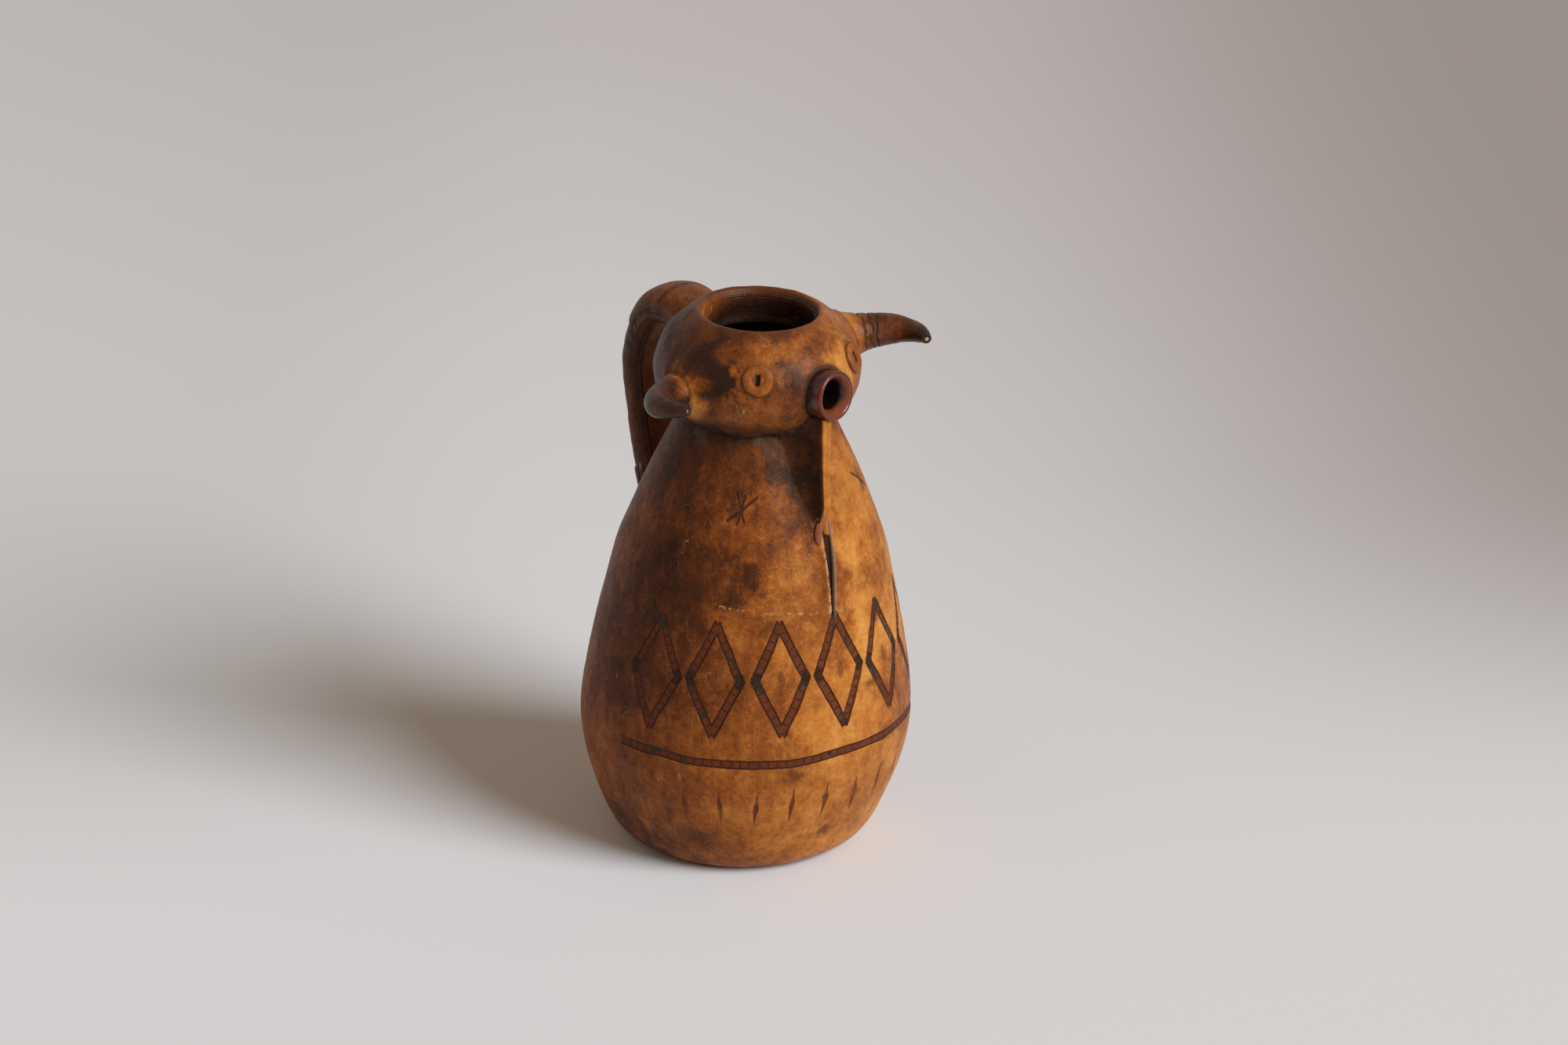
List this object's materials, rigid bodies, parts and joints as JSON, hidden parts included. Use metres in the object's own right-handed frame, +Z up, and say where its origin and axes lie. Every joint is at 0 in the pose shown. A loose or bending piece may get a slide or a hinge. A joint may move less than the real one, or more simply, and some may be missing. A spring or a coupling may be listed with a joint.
{
  "type": "pitcher",
  "caption": "Pear-shaped leather-covered clay pitcher in the form of a bull, with curved horns, disc eyes, a glazed muzzle spout, a dewlap and a hump-backed strap handle.",
  "frame": {"origin": "middle of the flat leather base disc's underside", "axes": "+Z up through the neck; the bull's muzzle and spout face -Y and the handle is at +Y; +X is the bull's left"},
  "size_m": [0.16, 0.1707, 0.2697],
  "materials": {
    "hide": "burnished, golden ochre with darker mottling",
    "head_hide": "burnished, brown and ochre mottling",
    "handle_hide": "burnished, dark brown",
    "horn_hide": "wrinkled, mid brown",
    "eye_hide": "plain ochre",
    "clay": "fired earthenware, matt",
    "glaze": "dark brown glaze, red-brown inside",
    "wood": "pale, whittled"
  },
  "bodies": {
    "root": {"base_disc": "hide", "jug_body": "clay", "jug_head": "clay", "spout": "glaze", "body_hide": "hide", "head_hide": "head_hide", "mouth_lining": "head_hide", "handle_core": "clay", "handle_cover": "handle_hide", "handle_strip": "handle_hide", "handle_cap": "handle_hide", "handle_foot_tab": "handle_hide", "eye_left": "eye_hide", "horn_peg_left": "wood", "horn_sleeve_left": "horn_hide", "eye_right": "eye_hide", "horn_peg_right": "wood", "horn_sleeve_right": "horn_hide"}
  },
  "joints": []
}
